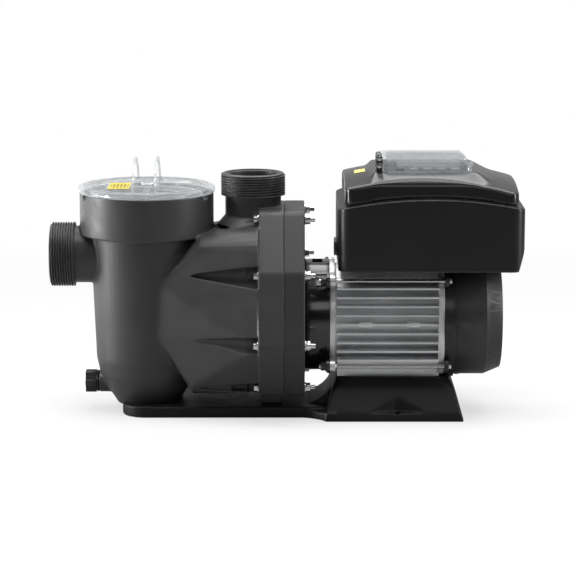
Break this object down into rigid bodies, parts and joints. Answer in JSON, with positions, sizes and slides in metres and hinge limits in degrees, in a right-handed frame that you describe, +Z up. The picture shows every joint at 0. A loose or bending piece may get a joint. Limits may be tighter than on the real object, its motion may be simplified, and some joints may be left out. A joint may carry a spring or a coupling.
{
  "type": "pool pump",
  "caption": "Self-priming pool pump with a clear-lidded strainer pot, threaded ports, finned motor, fan cover and a top-mounted speed controller.",
  "frame": {"origin": "on the underside of the base, on the centre plane, below the joint between the housing flange and the seal plate", "axes": "+X along the shaft towards the fan end, +Y away from the operator side, +Z up"},
  "size_m": [0.548, 0.226, 0.3071],
  "materials": {
    "housing_plastic": "fine moulded texture, satin",
    "clear_lid": "clear polycarbonate, glossy",
    "seal_rubber": "matt",
    "label_yellow": "printed vinyl",
    "basket_plastic": "moulded, satin",
    "black_plastic": "moulded, satin",
    "stainless": "turned stainless",
    "impeller_plastic": "glass-filled, satin",
    "seal_ceramic": "polished ceramic",
    "bracket_gloss": "black paint, gloss",
    "motor_aluminium": "die-cast and extruded, satin",
    "bearing_steel": "ground",
    "core_steel": "laminated electrical steel",
    "copper_wire": "varnished copper wire",
    "endshield_black": "black paint, satin",
    "black_steel": "black oxide",
    "fan_cover_plastic": "moulded, satin",
    "base_plastic": "moulded, satin",
    "controller_gloss": "moulded, semi-gloss",
    "board_green": "solder mask",
    "capacitor_sleeve": "shrink sleeve",
    "panel_plastic": "moulded, satin",
    "window_glass": "tinted window",
    "button_red": "silicone",
    "button_grey": "silicone",
    "clear_cover": "clear polycarbonate, glossy"
  },
  "bodies": {
    "pump_body": {"strainer_housing": "housing_plastic", "seal_plate": "housing_plastic", "housing_o_ring": "seal_rubber", "flange_bolts": "stainless", "flange_nuts": "stainless", "flange_washers": "stainless", "diffuser": "housing_plastic", "seal_seat": "seal_ceramic", "motor_bracket": "bracket_gloss", "bracket_screws": "stainless", "front_endshield": "motor_aluminium", "front_bearing": "bearing_steel", "stator_core": "core_steel", "stator_windings": "copper_wire", "stator_frame": "motor_aluminium", "rear_bearing": "bearing_steel", "rear_endshield": "endshield_black", "tie_rods": "stainless", "tie_rod_nuts": "black_steel", "fan_cover": "fan_cover_plastic", "fan_cover_screws": "stainless", "base": "base_plastic", "base_screws": "stainless", "motor_foot_screws": "stainless", "controller_tub": "controller_gloss", "tub_gasket": "seal_rubber", "controller_cover": "controller_gloss", "controller_screws": "stainless", "controller_mount_screws": "stainless", "heat_sink": "motor_aluminium", "circuit_board": "board_green", "capacitors": "capacitor_sleeve", "terminal_block": "board_green", "display_panel": "panel_plastic", "display_window": "window_glass", "hinge_bracket": "black_plastic", "hinge_pins": "stainless", "cable_gland": "black_plastic", "blanking_plug": "black_plastic", "controller_label": "label_yellow"},
    "lid_seal": {"lid_o_ring": "seal_rubber"},
    "lid": {"strainer_lid": "clear_lid", "lid_label": "label_yellow"},
    "basket": {"strainer_basket": "basket_plastic"},
    "plug_seal": {"drain_plug_o_ring": "seal_rubber"},
    "plug": {"drain_plug": "black_plastic"},
    "rotor": {"motor_shaft": "bearing_steel", "rotor_core": "core_steel", "impeller": "impeller_plastic", "impeller_screw": "stainless", "seal_head": "seal_rubber", "seal_spring": "stainless", "cooling_fan": "black_plastic"},
    "flip_cover": {"display_cover": "clear_cover"},
    "key_power": {"button_power": "button_red"},
    "key_mode": {"button_mode": "button_grey"},
    "key_up": {"button_up": "button_grey"},
    "key_down": {"button_down": "button_grey"},
    "key_timer": {"button_timer": "button_grey"}
  },
  "joints": [
    {"name": "lid_lift", "type": "slide", "parent": "pump_body", "child": "lid_seal", "axis": [0, 0, 1], "range_m": [0, 0.32]},
    {"name": "lid_turn", "type": "hinge", "parent": "lid_seal", "child": "lid", "pos_m": [-0.1604, 0, 0.26], "axis": [0, 0, 1], "range_deg": [0, 30]},
    {"name": "basket_lift", "type": "slide", "parent": "pump_body", "child": "basket", "axis": [0, 0, 1], "range_m": [0, 0.24]},
    {"name": "plug_turn", "type": "hinge", "parent": "plug_seal", "child": "plug", "pos_m": [-0.22, 0, 0.032], "axis": [-1, 0, 0], "range_deg": [0, 2160]},
    {"name": "plug_out", "type": "slide", "parent": "pump_body", "child": "plug_seal", "axis": [-1, 0, 0], "range_m": [0, 0.018]},
    {"name": "shaft_spin", "type": "hinge", "parent": "pump_body", "child": "rotor", "pos_m": [0.1, 0, 0.112], "axis": [1, 0, 0], "continuous": true},
    {"name": "cover_flip", "type": "hinge", "parent": "pump_body", "child": "flip_cover", "pos_m": [0.1092, 0, 0.3036], "axis": [0, -1, 0], "range_deg": [0, 165]},
    {"name": "key_power_press", "type": "slide", "parent": "pump_body", "child": "key_power", "axis": [0, 0, -1], "range_m": [0, 0.001]},
    {"name": "key_mode_press", "type": "slide", "parent": "pump_body", "child": "key_mode", "axis": [0, 0, -1], "range_m": [0, 0.001]},
    {"name": "key_up_press", "type": "slide", "parent": "pump_body", "child": "key_up", "axis": [0, 0, -1], "range_m": [0, 0.001]},
    {"name": "key_down_press", "type": "slide", "parent": "pump_body", "child": "key_down", "axis": [0, 0, -1], "range_m": [0, 0.001]},
    {"name": "key_timer_press", "type": "slide", "parent": "pump_body", "child": "key_timer", "axis": [0, 0, -1], "range_m": [0, 0.001]}
  ],
  "couplings": [
    {"joint": "basket_lift", "follows": "lid_lift", "ratio": 0.75},
    {"joint": "plug_out", "follows": "plug_turn", "m_per_rad": 0.00047746}
  ]
}
